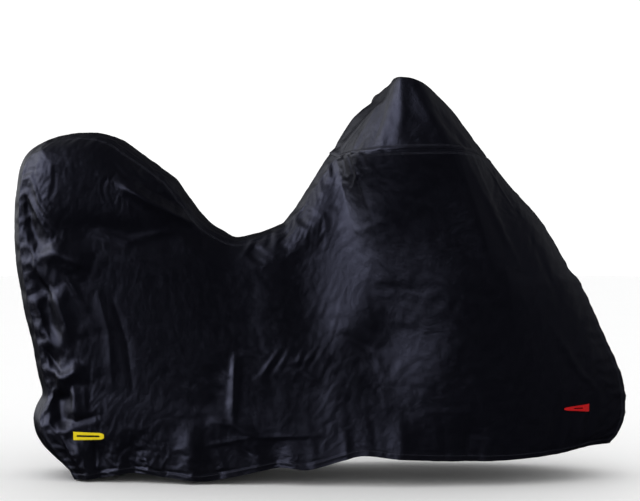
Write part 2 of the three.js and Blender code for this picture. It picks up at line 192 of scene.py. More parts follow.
fold_fade = 0.3  # share of its path over which a main fold dies away at each end
kink_hold = 160  # over this distance from a seam the kinks of the net's columns are eased out
kink_passes = 50
seam_hold = 45  # over this distance from a seam the main folds grow to their full depth
fine_hold = 16  # and the fine folds over this
cap_hold = 30  # and those of the cap over this
fine_end = 0.1  # a fine fold's height follows half a wave, less this share of it at both ends
fine_power = 1.5  # below 2, its crest is sharper than a bell
corner_power = 8  # how sharply the cap turns down at its two ridges
flank_from = 0.75  # share of the way out to the cap's ridge beyond which its folds lie
flank_blend = 30
bump_hold = 20  # the outline's bumps grow over this distance from a seam
pucker_mean = 0.6  # the puckers' height varies about this share of it
pucker_swells = [170, 97]  # in two slow waves along the seam

# The main folds of a side panel, as in the solids. A path is the x and z that a fold runs through.
fold_columns = ["name", "width", "out", "path"]
main_folds = [
    ["furrow down the box's rear edge", 26, -20, [[-992, 1000], [-973, 887], [-918, 744]]],
    ["hollow under the box", 52, -24, [[-930, 852], [-625, 816], [-330, 806]]],
    ["taut fold from the box to the saddle", 24, 22, [[-700, 1020], [-572, 938], [-320, 822]]],
    ["furrow above the taut fold", 25, -16, [[-640, 1040], [-530, 956], [-420, 890]]],
    ["bulge under the hollow", 36, 24, [[-915, 790], [-840, 744], [-752, 712]]],
    ["deep furrow behind", 28, -22, [[-960, 715], [-914, 622], [-896, 524], [-860, 455]]],
    ["rib in front of the deep furrow", 28, 10, [[-888, 656], [-822, 457]]],
    ["furrow over the crumple", 24, -13, [[-930, 445], [-868, 382]]],
    ["crumple", 26, 17, [[-892, 365], [-850, 340], [-781, 388]]],
    ["hollow below the pinch", 34, -28, [[-863, 310], [-866, 240], [-850, 165]]],
    ["rib below the crumple", 24, 12, [[-812, 325], [-808, 203]]],
    ["lump at the rear hem", 28, 13, [[-822, 150], [-760, -60]]],
    ["dip at the rear hem", 28, -12, [[-735, 160], [-722, -100]]],
    ["upright fold amidships", 14, 8, [[-279, 440], [-284, 330], [-291, 190]]],
    ["hollow behind the upright fold", 40, -5, [[-351, 400], [-341, 232]]],
    ["hollow in front of the upright fold", 62, -6, [[-220, 330], [-60, 300], [60, 285]]],
    ["edge over the hollow", 24, 2, [[-290, 414], [-110, 422]]],
    ["edge under the hollow", 20, 4, [[-376, 218], [-300, 196], [-200, 168]]],
    ["furrow below the saddle", 26, -10, [[-236, 740], [-200, 790]]],
    ["furrow in front of the saddle", 26, -12, [[-80, 860], [-40, 920]]],
    ["broad ridge below the handlebar", 80, 26, [[105, 1010], [140, 740], [150, 400]]],
    ["soft hollow beside it", 85, -14, [[-90, 880], [-60, 680], [-20, 400]]],
    ["fall in front of the broad ridge", 110, -14, [[280, 970], [300, 680], [300, 330]]],
    ["taut fold down to the nose", 50, 12, [[430, 1010], [560, 760], [700, 500]]],
    ["hem wave under the saddle", 42, 14, [[-430, 220], [-420, -120]]],
    ["hem dip beside it", 40, -12, [[-620, 190], [-610, -100]]],
    ["hem dip amidships", 40, -12, [[-150, 190], [-140, -60]]],
    ["hem wave in front", 50, 12, [[260, 250], [270, -40]]],
    ["hem dip in front", 50, -12, [[480, 250], [480, -40]]],
]
# The fine folds, which fade towards both their ends.
fine_folds = [
    ["rib by the rear edge", 10, 8, [[-982, 970], [-943, 897], [-906, 831]]],
    ["second rib by the rear edge", 9, 5, [[-962, 1020], [-930, 930], [-880, 860]]],
    ["ridge on the box's slope", 10, 9, [[-638, 977], [-572, 937], [-466, 884], [-351, 831]]],
    ["furrow over that ridge", 9, -8, [[-599, 993], [-516, 947], [-447, 904]]],
    ["small furrow on the slope", 8, -6, [[-589, 1043], [-559, 1050], [-539, 1030]]],
    ["crease over the box's front", 9, 6, [[-655, 1075], [-600, 1020], [-560, 985]]],
    ["second crease there", 8, -5, [[-690, 1060], [-640, 1010], [-610, 970]]],
    ["fold under the box", 12, 8, [[-780, 842], [-640, 800], [-500, 836]]],
    ["upper crease of the bulge", 8, -6, [[-863, 732], [-797, 712]]],
    ["lower crease of the bulge", 8, -6, [[-830, 689], [-781, 705]]],
    ["sharp crease behind", 8, 6, [[-856, 708], [-813, 642], [-774, 575]]],
    ["deep furrow's crest", 9, 5, [[-944, 712], [-890, 625], [-868, 524], [-836, 457]]],
    ["rib over the tail", 10, 4, [[-890, 656], [-857, 560], [-824, 457]]],
    ["thin rib behind", 8, 5, [[-956, 606], [-923, 524], [-896, 447]]],
    ["furrow low behind", 9, -8, [[-923, 441], [-863, 368]]],
    ["crest of the crumple", 9, 5, [[-890, 368], [-857, 345], [-781, 388]]],
    ["lit facet at the pinch", 12, 7, [[-930, 226], [-890, 292]]],
    ["upper rib at the pinch", 9, 5, [[-820, 330], [-817, 203]]],
    ["second rib at the pinch", 9, 4, [[-784, 325], [-777, 229]]],
    ["V below the ribs", 9, -5, [[-814, 203], [-791, 209], [-744, 219]]],
    ["wrinkle at the rear hem", 9, 6, [[-857, 143], [-830, 90], [-797, 44]]],
    ["second wrinkle there", 9, -6, [[-748, 143], [-748, 44]]],
    ["long shallow rib over the wheel", 16, 5, [[-740, 640], [-700, 500], [-690, 330]]],
    ["second long rib there", 14, -4, [[-690, 620], [-640, 470], [-620, 300]]],
    ["crest of the upright fold", 7, 4, [[-283, 430], [-286, 309], [-284, 200]]],
    ["upper crease behind it", 8, 3, [[-384, 342], [-327, 322]]],
    ["lower crease behind it", 8, 3, [[-318, 368], [-294, 355]]],
    ["crest over the hollow", 9, 2, [[-275, 420], [-240, 430], [-200, 428]]],
    ["first pucker amidships", 7, 5, [[-190, 362], [-138, 436]]],
    ["second pucker", 7, -3, [[-160, 368], [-122, 430]]],
    ["third pucker", 7, 3, [[-126, 392], [-105, 438]]],
    ["fourth pucker", 7, 4, [[-73, 395], [-62, 434]]],
    ["fifth pucker", 7, 3, [[-50, 404], [-22, 430]]],
    ["wrinkles in front of them", 9, 3, [[-53, 368], [3, 328]]],
    ["edge below the upright fold", 8, 3, [[-345, 208], [-290, 200], [-250, 186]]],
    ["long line over the hem", 9, 4, [[-281, 183], [-195, 156], [-3, 166]]],
    ["line behind it", 8, 4, [[-367, 130], [-235, 153]]],
    ["dent at the hem", 12, -6, [[-268, 123], [-218, 94]]],
    ["dent on the belly", 20, -5, [[79, 490], [179, 441]]],
    ["first saddle pucker", 7, -5, [[-235, 765], [-200, 816]]],
    ["second saddle pucker", 7, 4, [[-264, 742], [-234, 796]]],
    ["third saddle pucker", 7, -4, [[-186, 778], [-158, 816]]],
    ["fourth saddle pucker", 7, 3, [[-158, 780], [-130, 824]]],
    ["fifth saddle pucker", 7, -5, [[-118, 816], [-90, 858]]],
    ["sixth saddle pucker", 7, -6, [[-70, 894], [-40, 926]]],
    ["seventh saddle pucker", 7, -5, [[-36, 950], [-8, 980]]],
    ["crease from the seam's front", 14, 7, [[470, 1070], [560, 900], [650, 720]]],
    ["crease over the nose", 14, -5, [[640, 900], [720, 760], [790, 600]]],
    ["ripple over the front wheel", 16, 5, [[760, 520], [850, 380], [930, 300]]],
    ["ripple at the front hem", 12, 6, [[880, 240], [860, 150], [850, 105]]],
    ["second ripple there", 12, -5, [[790, 260], [770, 170], [762, 100]]],
]
left_fold_shift = 26
left_fold_share = 0.85

# Folds of the cap's two flanks, and bumps of the strips' outline.
cap_folds = [
    ["crest from the mirror to the seam", 26, 7, [[290, 1306], [325, 1254], [370, 1180], [430, 1100]]],
    ["crease down the lit flank", 12, 3, [[262, 1290], [264, 1200], [252, 1110]]],
    ["crease behind it", 14, -5, [[212, 1250], [190, 1180], [160, 1100]]],
    ["crease beside the ridge", 12, 6, [[196, 1262], [160, 1190], [110, 1100]]],
    ["soft hollow on the dark flank", 22, -6, [[350, 1250], [410, 1170], [470, 1095]]],
    ["ripple by the front seam", 12, 5, [[400, 1220], [470, 1130], [520, 1080]]],
]
bump_columns = ["x", "z", "width", "out"]
outline_bumps = [
    [-500, 1010, 26, 3],
    [-470, 960, 20, -2.4],
    [-340, 838, 24, 3],
    [-300, 820, 18, -2.4],
    [-92, 880, 22, 3],
    [-68, 912, 16, -3],
    [-34, 960, 20, 3],
    [-10, 1000, 16, -2.4],
    [-1020, 820, 40, 2.4],
    [-1000, 640, 34, -2.4],
    [-975, 520, 30, 2.4],
    [-950, 400, 24, -2.4],
]

# The loops: where each is sewn on, which way it points, its length and heights, its slot, and how far
# round each point of it the cloth is felt for.
loop_columns = ["name", "x", "z", "way", "length", "root", "tip"]
loop_columns += ["slot_from", "slot_to", "slot_high", "reach"]
loop_rows = [
    ["rear_loop", -820, 154, 1, 104, 28, 22, 12, 90, 6, 6],
    ["front_loop", 893, 249, -1, 90, 26, 9, 24, 56, 3, 2],
]
tip_round_from = 0.85
tip_roundness = 0.75  # 1 would bring the tip to a point
sewn_stand_off = 0.6
loop_stand_off = 2.2
loop_crown = 0.5
loop_steps = 40  # on each of the two legs
loop_across = 8  # across a leg
outside_y = -900  # clear of the cover, on the right

# The settling of the loose cloth.
least_loose = 0.03
strip_loose = 0.06
loose_columns = ["x", "z", "long", "high", "loose"]
loose_areas = [
    [-950, 600, 90, 240, 0.45],
    [-870, 240, 110, 170, 0.45],
    [-560, 965, 120, 90, 0.3],
    [-930, 900, 70, 140, 0.35],
    [-150, 845, 150, 60, 0.5],
    [-110, 395, 120, 70, 0.3],
    [-640, 60, 240, 70, 0.35],
    [60, 1040, 70, 90, 0.35],
    [600, 960, 60, 160, 0.2],
    [930, 300, 90, 220, 0.25],
]
settling_fineness = 0.6
settling_frames = 10
settling_decimals = 4  # of a metre, by which points that the panels share are told
most_moved = 14
cloth_excess = 0.045  # where it is loosest
cloth_bending = 0.4
cloth_gravity = 0.2
inner_hold = 0.25
hem_hold = 0.7
pin_stiffness = 1.0

# Seams and hem.
welt_height = 1.6  # how far the rolled edge of a seam stands out
welt_place = 7  # its middle, from the seam
welt_width = 4.5
side_welt_share = 0.4  # a side panel lies under its neighbours there
cap_lip = 2.2  # the cap's lower edge is rolled more
hem_band = 21  # width of the folded hem
hem_step = 1.1  # how far it stands out
hem_step_run = 3  # over which it steps out
hem_seam_run = 4  # the step dies away this close to a seam
pucker_reach = 13  # stitching puckers are deepest this far from the seam
side_puckers = [[46, 1.5, 0.4], [71, 1.9, 1.7], [29, 0.9, 2.9]]  # wavelength, height and phase
hem_puckers = [[58, 1.2, 0.9], [93, 1.8, 2.2], [37, 0.6, 0.2]]

# Crumple: where its noise starts, how long it is across and along, how high, and how far from a seam.
side_crumple = [7.3, 60, 170, 0.6, 60]
strip_crumple = [3.1, 70, 110, 1.6, 50]
cap_crumple = [5.7, 70, 150, 1.8, 50]
crumple_octaves = [0.8, 2.1, 4]  # how fast finer ones fade, how much finer each is, and how many
tail_crumple = [2, -640, 260]  # how much more there is towards the tail, from which x, and over what length
low_crumple = [2 / 3, 240, 200]  # and towards the floor, from which height
hem_crumple = [0.3, 30]  # its share at the hem, and the length over which it grows

# Stitches and weave.
seam_stitch_rows = [11.5, 15.5]
hem_stitch_rows = [18]
webbing_stitch_rows = [1.7]
cloth_stitch = [4.5, 0.6]  # length of a stitch and half the thread's width
webbing_stitch = [3, 0.4]
thread_share = 0.62  # of a stitch's length lies on top
weave_pitch = 0.9
rib_pitch = 1.6
cord_pitch = 1.1

# Colours of the materials.
nylon_black = (0.0012, 0.0012, 0.0020, 1)
nylon_navy = (0.0022, 0.0022, 0.0040, 1)
worn_dark = (0.0022, 0.0022, 0.0034, 1)
worn_pale = (0.0070, 0.0070, 0.0105, 1)
dust = (0.010, 0.0095, 0.009, 1)
nylon_thread = (0.030, 0.031, 0.040, 1)
nylon_gloss = (0.66, 0.68, 1.0, 1)
pale_paper = (0.93, 0.93, 0.93, 1)
# The webbing of each loop: its material slot, its colour, and that of its dusty parts.
webbing_colours = {
    "rear_loop": ["yellow_webbing", (0.95, 0.78, 0.02, 1), (0.62, 0.47, 0.01, 1)],
    "front_loop": ["red_webbing", (0.55, 0.004, 0.006, 1), (0.26, 0.002, 0.003, 1)],
}

# The floor, the surroundings and the camera.
floor_radius = 40  # metres
floor_steps = 64
floor_depth = 0.002  # metres below the hem
surroundings = 1.12  # a little brighter than the paper, so that the floor fades into them
near_window = 3.8  # what gloss shows: a bright window, two dim ones and faint glows
far_window = 0.8
far_front_window = 0.1
front_glow = 0.05
ceiling_glow = 0.2
least_glow = 0.005
seen_height = 770  # of the camera, in the drawn-up frame
seen_from = 5000  # how far the camera stands from the middle of the cover
seen_focus = 1445  # focal length in pixels of a picture 640 wide
picture_width = 640


def run_between(here, there, leaving, arriving, t):
    """A smooth run from here to there by those slopes, while t goes from 0 to 1."""
    away = 1 - t
    start = (here * (1 + 2 * t) + leaving * t) * away * away
    return start + (there * (3 - 2 * t) - arriving * away) * t * t


class Curve:
    """A smooth curve through rows of named columns, by distance along the path that some of them trace."""

    def __init__(self, columns, rows, along):
        self.columns = columns
        self.rows = np.array(rows, float)
        traced = self.rows[:, [columns.index(name) for name in along]]
        steps = np.linalg.norm(np.diff(traced, axis=0), axis=1)
        self.at = np.concatenate([[0], np.cumsum(steps)])
        self.length = self.at[-1]
        order = np.arange(len(rows))
        before = np.maximum(order - 1, 0)
        after = np.minimum(order + 1, len(rows) - 1)
        self.slopes = (self.rows[after] - self.rows[before]) / (self.at[after] - self.at[before])[:, None]

    def point(self, distance):
        """The named values at a distance, or at an array of them."""
        d = np.clip(np.asarray(distance, float), 0, self.length)
        i = np.clip(np.searchsorted(self.at, d) - 1, 0, len(self.at) - 2)
        span = self.at[i + 1] - self.at[i]
        t = ((d - self.at[i]) / span)[..., None]
        span = span[..., None]
        leaving = self.slopes[i] * span
        arriving = self.slopes[i + 1] * span
        values = run_between(self.rows[i], self.rows[i + 1], leaving, arriving, t)
        return {name: values[..., k] for k, name in enumerate(self.columns)}


def ease(t):
    """A smooth step from 0 to 1."""
    s = np.clip(t, 0, 1)
    return s * s * (3 - 2 * s)


def table(columns, rows):
    """Rows as dictionaries, one value for each named column."""
    return [dict(zip(columns, row)) for row in rows]


def plain(rows):
    """Rows of the spine where it has no groove, corner or turn."""
    return [[*row, 0, 0, 0] for row in rows]


spine_rows = plain(behind_rows + over_rows) + cap_rows + plain(down_rows)
spine = Curve(spine_columns, spine_rows, ["x", "z"])
last_behind = len(behind_rows) - 1
last_over = last_behind + len(over_rows)
last_cap = last_over + len(cap_rows)
box_corner = spine.at[last_behind]
box_slope = spine.at[last_behind + rows_to_box_slope]
cap_rear = spine.at[last_over]
cap_front = spine.at[last_cap]
cap_seam = Curve(cap_seam_columns, cap_seam_rows, ["x"])
hem = Curve(hem_columns, hem_rows, ["x"])
belly = Curve(belly_columns, belly_rows, ["x"])
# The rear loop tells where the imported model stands.
low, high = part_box("rear_loop")
drawn_shift = np.array([low.x / mm - loop_rows[0][1], 0, (low.z + high.z) / 2 / mm - loop_rows[0][2]])


def finer(values, parts):
    """The same values with each step between them cut into equal parts."""
    steps = np.arange((len(values) - 1) * parts + 1) / parts
    return np.interp(steps, np.arange(len(values)), values)


def close_at_ends(count, share):
    """count + 1 values from 0 to 1, closer together towards both ends by that share."""
    s = np.linspace(0, 1, count + 1)
    return s - share * np.sin(2 * np.pi * s) / (2 * np.pi)


def over_stations():
    """Distances along the spine of a side panel's columns up to the cap."""
    to_slope = np.linspace(box_corner, box_slope, columns_over_box + 1)
    to_cap = np.linspace(box_slope, cap_rear, columns_over_saddle + 1)
    return np.concatenate([to_slope, to_cap[1:]])


def cap_stations():
    """Distances along the spine of the cap's columns."""
    found = [np.array([cap_rear])]
    for i, parts in enumerate(columns_between_cap_rows):
        found.append(np.linspace(spine.at[last_over + i], spine.at[last_over + i + 1], parts + 1)[1:])
    return np.concatenate(found)


def hem_shares():
    """How far along the hem each column of a side panel ends, as a share of its length."""
    over_box = np.linspace(0, hem_share_at_box, columns_over_box + 1)
    over_saddle = np.linspace(hem_share_at_box, hem_share_at_cap, columns_over_saddle + 1)
    over_cap = np.linspace(hem_share_at_cap, 1, sum(columns_between_cap_rows) + 1)
    return np.concatenate([over_box, over_saddle[1:], over_cap[1:]])


def outward(distance):
    """Which way is out, square to the spine, as x and z."""
    ahead = spine.point(distance + 1)
    behind = spine.point(distance - 1)
    dx = ahead["x"] - behind["x"]
    dz = ahead["z"] - behind["z"]
    run = np.hypot(dx, dz)
    return -dz / run, dx / run


def crown(distance, across):
    """Points of the cloth between the two spine lines. across is -1 on the right-hand line, 1 on the left."""
    here = spine.point(distance)
    out_x, out_z = outward(distance)
    out = here["rise"] * (1 - across**2) - here["groove"] * np.sin(np.pi * across) ** 2
    out = out - here["corner"] * across**corner_power
    x = here["x"] - here["turn"] * across + out * out_x
    z = here["z"] + out * out_z
    return np.stack(np.broadcast_arrays(x, here["half"] * across, z), axis=-1)


def cap_seam_point(distance, side):
    """Points of the cap's seam on one side, under the ridge at these distances along the spine."""
    there = cap_seam.point(np.interp(distance, spine.at[last_over : last_cap + 1], cap_seam.at))
    return np.stack([there["x"], side * there["half"], there["z"]], axis=-1)


def path_place(x, z, path):
    """How far each place is from a path, and how far along it its nearest point is, from 0 to 1."""
    nearest = np.full(x.shape, np.inf)
    share = np.zeros(x.shape)
    lengths = [math.dist(a, b) for a, b in zip(path, path[1:])]
    done = 0
    for (ax, az), (bx, bz), length in zip(path, path[1:], lengths):
        t = np.clip(((x - ax) * (bx - ax) + (z - az) * (bz - az)) / length**2, 0, 1)
        away = np.hypot(x - ax - t * (bx - ax), z - az - t * (bz - az))
        closer = away < nearest
        nearest = np.where(closer, away, nearest)
        share = np.where(closer, (done + t * length) / sum(lengths), share)
        done += length
    return nearest, share


def main_relief(x, z):
    """How far the main folds move the cloth out. They are bell-shaped and die away at both ends."""
    total = np.zeros(x.shape)
    for fold in table(fold_columns, main_folds):
        away, share = path_place(x, z, fold["path"])
        depth = fold["out"] * ease(np.minimum(share, 1 - share) / fold_fade)
        total += depth * np.exp(-((away / fold["width"]) ** 2))
    return total


def fine_relief(x, z, folds):
    """How far fine folds move the cloth out. They have sharper crests, and are lower towards both ends."""
    total = np.zeros(x.shape)
    for fold in table(fold_columns, folds):
        away, share = path_place(x, z, fold["path"])
        taper = np.sin(np.pi * (fine_end + (1 - 2 * fine_end) * share))
        total += fold["out"] * taper * np.exp(-((away / fold["width"]) ** fine_power))
    return total


def puckers(run, away, waves, reach):
    """Short wrinkles square to a line of stitches: none on it, deepest at the reach, then dying away."""
    ripple = sum(height * np.sin(2 * np.pi * run / wave + phase) for wave, height, phase in waves)
    long, short = pucker_swells
    uneven = pucker_mean + (1 - pucker_mean) * np.sin(run / long) * np.sin(run / short + 1)
    near = away / reach
    return ripple * uneven * near * np.exp(1 - near)


def welt(away, height):
    """The rolled edge beside a seam."""
    return height * np.exp(-(((away - welt_place) / welt_width) ** 2))


def hem_fold(from_hem, from_seam):
    """The step out to the folded band along the hem."""
    step = ease((hem_band + hem_step_run / 2 - from_hem) / hem_step_run)
    return hem_step * step * ease(from_seam / hem_seam_run)


def crumple(net, from_seam, start, across, along, high, full_from):
    """Uneven small relief at every point, longer one way than the other, and none at a seam."""
    flat = net.reshape(-1, 3)
    stretched = np.stack([flat[:, 0] / across, flat[:, 1] / across, flat[:, 2] / along], axis=-1)
    values = [noise.fractal(Vector(p) + Vector((start, 0, 0)), *crumple_octaves) for p in stretched]
    return high * np.array(values).reshape(net.shape[:-1]) * ease(from_seam / full_from)


def lengths_along(net, axis):
    """Distance from the first line of a net, along one of its directions."""
    steps = np.linalg.norm(np.diff(net, axis=axis), axis=-1)
    start = np.zeros_like(np.take(steps, [0], axis=axis))
    return np.concatenate([start, np.cumsum(steps, axis=axis)], axis=axis)


def distance_to(net, line):
    """How far each point of a net is from the end of its own row or column."""
    return np.linalg.norm(net - line, axis=-1)


def lowered(top, bottom, height):
    """How far down from top to bottom a height is, 0 to 1, and how far out the straight line is there."""
    low = np.clip((top[..., 2] - height) / (top[..., 2] - bottom[..., 2]), 0, 1)
    return low, top[..., 1] * (1 - low) + bottom[..., 1] * low


def side_edges(side, parts, rows):
    """A side panel's upper, lower, rear and front edge, and how far along and down its lines lie, 0 to 1."""
    distance = finer(np.concatenate([over_stations(), cap_stations()[1:]]), parts)
    along = finer(hem_shares(), parts)
    down = close_at_ends(rows, side_edge_share)
    top = np.where((distance <= cap_rear)[:, None], crown(distance, side), cap_seam_point(distance, side))
    there = hem.point(hem.length * along)
    bottom = np.stack([there["x"], side * there["half"], there["z"]], axis=-1)
    back = crown(box_corner * (1 - down), side)
    front = crown(cap_front + (spine.length - cap_front) * down, side)
    bottom[0] = back[-1]
    bottom[-1] = front[-1]
    return top, bottom, back, front, along, down


def stretched(top, bottom, back, front, along, down):
    """A net between four edges, and how far down each point is. The two ends' outlines die away along it."""
    u = along[:, None, None]
    w = down[None, :, None]
    back_line = top[0] * (1 - w) + bottom[0] * w
    front_line = top[-1] * (1 - w) + bottom[-1] * w
    net = top[:, None] * (1 - w) + bottom[:, None] * w
    net = net + (back[None] - back_line) * (1 - u) ** outline_reach
    net = net + (front[None] - front_line) * u**outline_reach
    u = u[..., 0]
    low, between = lowered(top[:, None], bottom[:, None], net[..., 2])
    back_off = back[:, 1] - lowered(top[0], bottom[0], back[:, 2])[1]
    front_off = front[:, 1] - lowered(top[-1], bottom[-1], front[:, 2])[1]
    net[..., 1] = between + back_off[None] * (1 - u) ** end_reach + front_off[None] * u**end_reach
    return net, low


def ease_kinks(net, from_seam):
    """Evens out how far from the middle a net's columns stand, except near the seams."""
    eased = ease(from_seam / kink_hold)[1:-1]
    for _ in range(kink_passes):
        middle = (net[:-2, :, 1] + net[2:, :, 1]) / 2
        net[1:-1, :, 1] += eased / 2 * (middle - net[1:-1, :, 1])


def side_roughness(x, z, from_hem):
    """How many times higher than usual a side panel's crumple is: more at the tail and low down."""
    tail_more, tail_from, tail_over = tail_crumple
    low_more, low_from, low_over = low_crumple
    least, hem_over = hem_crumple
    rough = 1 + tail_more * ease((tail_from - x) / tail_over) + low_more * ease((low_from - z) / low_over)
    return rough * ease(from_hem / hem_over + least)


def looseness(x, z):
    """How loose the cloth of a side panel is, from 0 to 1."""
    loose = np.full(x.shape, least_loose)
    for area in table(loose_columns, loose_areas):
        near = ((x - area["x"]) / area["long"]) ** 2 + ((z - area["z"]) / area["high"]) ** 2
        loose += area["loose"] * np.exp(-near)
    return np.clip(loose, 0, 1)


def side_panel(side, parts, rows):
    """A side panel: stretched between its four edges, then swollen, folded and puckered."""
    top, bottom, back, front, along, down = side_edges(side, parts, rows)
    net, low = stretched(top, bottom, back, front, along, down)
    edges = [(top[:, None], 0), (back[None], 1), (front[None], 1)]
    runs = [lengths_along(edge, axis) for edge, axis in edges]
    aways = [distance_to(net, edge) for edge, _ in edges]
    from_seam = np.min(aways, axis=0)
    run_hem = lengths_along(bottom[:, None], 0)
    from_hem = distance_to(net, bottom[:, None])
    ease_kinks(net, from_seam)

    x = net[..., 0]
    z = net[..., 2]
    folded_x = x - (left_fold_shift if side > 0 else 0)
    share = left_fold_share if side > 0 else 1
    rounding = 1 - (1 - np.clip(from_seam / shoulder, 0, 1)) ** 2
    out = belly.point(x - belly_rows[0][0])["swell"] * rounding * (1 - low)
    out += share * main_relief(folded_x, z) * ease(from_seam / seam_hold)
    out += share * fine_relief(folded_x, z, fine_folds) * ease(from_seam / fine_hold)
    for run, away in zip(runs, aways):
        out += puckers(run, away, side_puckers, pucker_reach)
    hem_wave = puckers(run_hem, from_hem + hem_band, hem_puckers, 2 * hem_band)
    out += hem_wave * ease(from_seam / seam_hold)
    out += hem_fold(from_hem, from_seam)
    out += welt(from_seam, welt_height * side_welt_share)
    start, *sizes = side_crumple
    out += side_roughness(x, z, from_hem) * crumple(net, from_seam, start + side, *sizes)
    net[..., 1] += side * out
    nearest = np.argmin(aways, axis=0)
    return {
        "net": net,
        "flip": side < 0,
        "cloth": (lengths_along(net, 0), lengths_along(net, 1)),
        "seam": (np.choose(nearest, [run + 0 * from_seam for run in runs]), from_seam),
        "hem": (run_hem + 0 * from_hem, from_hem),
        "loose": looseness(folded_x, z),
    }


def strip(distance, hem_at_start, hem_at_end):
    """A strip of the crown, with the bumps that its outline shows."""
    across = 1 - 2 * close_at_ends(strip_rows, strip_edge_share)
    net = crown(distance[:, None], across[None])
    half = spine.point(distance)["half"][:, None]
    from_seam = half * (1 - np.abs(across[None]))
    bumps = np.zeros(net.shape[:2])
    for bump in table(bump_columns, outline_bumps):
        away = np.hypot(net[..., 0] - bump["x"], net[..., 2] - bump["z"])
        bumps += bump["out"] * np.exp(-((away / bump["width"]) ** 2))
    run = distance[:, None] - distance[0] + 0 * from_seam
    from_hem = np.full(net.shape[:2], no_hem)
    if hem_at_start:
        from_hem = run
    if hem_at_end:
        from_hem = run[-1:] - run
    out = bumps * ease(from_seam / bump_hold)
    out += puckers(run, from_seam, side_puckers, pucker_reach)
    out += welt(from_seam, welt_height)
    out += crumple(net, from_seam, *strip_crumple)
    out += hem_fold(from_hem, from_seam)
    out_x, out_z = outward(distance)
    net[..., 0] += out * out_x[:, None]
    net[..., 2] += out * out_z[:, None]
    return {
        "net": net,
        "flip": True,
        "cloth": (run, lengths_along(net, 1)),
        "seam": (run, from_seam),
        "hem": (half * across[None] + 0 * run, from_hem),
        "loose": np.full(run.shape, strip_loose),
    }


def cap(parts):
    """The cap: up from the left-hand seam to its ridge, over to the other ridge and down to that seam."""
    distance = finer(cap_stations(), parts)
    right_seam = cap_seam_point(distance, -1)[:, None]
    left_seam = cap_seam_point(distance, 1)[:, None]
    up = (np.linspace(0, 1, facet_rows + 1) ** facet_power)[None, :, None]
    across = 1 - 2 * close_at_ends(crown_rows, crown_edge_share)
    over = crown(distance[:, None], across[None])
    left = left_seam * (1 - up) + over[:, :1] * up
    right = over[:, -1:] * up + right_seam * (1 - up)
    net = np.concatenate([left[:, :-1], over, right[:, ::-1][:, 1:]], axis=1)
    from_side = np.minimum(distance_to(net, left_seam), distance_to(net, right_seam))
    from_strip = np.minimum(distance - cap_rear, cap_front - distance)[:, None]
    from_seam = np.minimum(from_side, from_strip)
    ridge = np.abs(over[:, 0, 1])[:, None]
    flank = ease((np.abs(net[..., 1]) - flank_from * ridge) / flank_blend + 0.5)
    out = fine_relief(net[..., 0], net[..., 2], cap_folds) * flank * ease(from_seam / cap_hold)
    run = lengths_along(right_seam, 0) + 0 * from_seam
    out += puckers(run, from_seam, side_puckers, pucker_reach)
    out += welt(from_seam, cap_lip)
    out += crumple(net, from_seam, *cap_crumple)
    net = net + net_normals(net, True) * out[..., None]
    return {
        "net": net,
        "flip": True,
        "cloth": (run, lengths_along(net, 1)),
        "seam": (run, from_seam),
        "hem": (run, np.full(run.shape, no_hem)),
        "loose": np.full(run.shape, strip_loose),
    }


def net_faces(shape):
    """The four corners of each cell of a net, as places in its flattened list of points."""
    place = np.arange(shape[0] * shape[1]).reshape(shape)
    return np.stack([place[:-1, :-1], place[1:, :-1], place[1:, 1:], place[:-1, 1:]], axis=-1).reshape(-1, 4)


def cell_crosses(points, faces):
    """For each cell, a vector square to it that is twice its area long."""
    a, b, c, d = (points[faces[:, k]] for k in range(4))
    return np.cross(c - a, d - b)


def net_normals(net, flip):
    """Outward normals of a net, shared by the points that lie in the same place."""
    points = net.reshape(-1, 3)
    faces = net_faces(net.shape[:2])
    crosses = cell_crosses(points, faces)
    _, same = np.unique(np.round(points / same_point), axis=0, return_inverse=True)
    same = same.reshape(-1)
    total = np.zeros((same.max() + 1, 3))
    for k in range(4):
        np.add.at(total, same[faces[:, k]], crosses)
    total /= np.maximum(np.linalg.norm(total, axis=1), 1e-9)[:, None]
    return (total[same] * (-1 if flip else 1)).reshape(net.shape)


def thick_mesh(name, panel, thickness, closed=False):
    """A mesh with an outer and an inner layer and a wall round its edge, and its maps in metres."""
    net = panel["net"]
    outer = net.reshape(-1, 3)
    inner = (net - net_normals(net, panel["flip"]) * thickness).reshape(-1, 3)
    columns, rows = net.shape[:2]
    place = np.arange(columns * rows).reshape(columns, rows)
    cells = net_faces(net.shape[:2])
    if closed:
        walls = [(place[:-1, 0], place[1:, 0]), (place[1:, -1], place[:-1, -1])]
        pairs = [pair for first, second in walls for pair in zip(first, second)]
    else:
        ring = [*place[:-1, 0], *place[-1, :-1], *place[:0:-1, -1], *place[0, :0:-1]]
        pairs = list(zip(ring, ring[1:] + ring[:1]))
    count = len(outer)
    wall = np.array([[a, a + count, b + count, b] for a, b in pairs])
    faces = np.concatenate([cells, cells[:, ::-1] + count, wall])
    if panel["flip"]:
        faces = faces[:, ::-1]
    points = (np.concatenate([outer, inner]) + drawn_shift) * mm
    mesh = bpy.data.meshes.new(name)
    mesh.from_pydata(points, [], faces.tolist())
    add_maps(mesh, panel)
    mesh.polygons.foreach_set("use_smooth", np.ones(len(mesh.polygons), bool))
    work = bmesh.new()
    work.from_mesh(mesh)
    bmesh.ops.remove_doubles(work, verts=work.verts, dist=same_point * mm)
    work.to_mesh(mesh)
    work.free()
    mesh.set_sharp_from_angle(angle=math.radians(sharp_from))
    return mesh


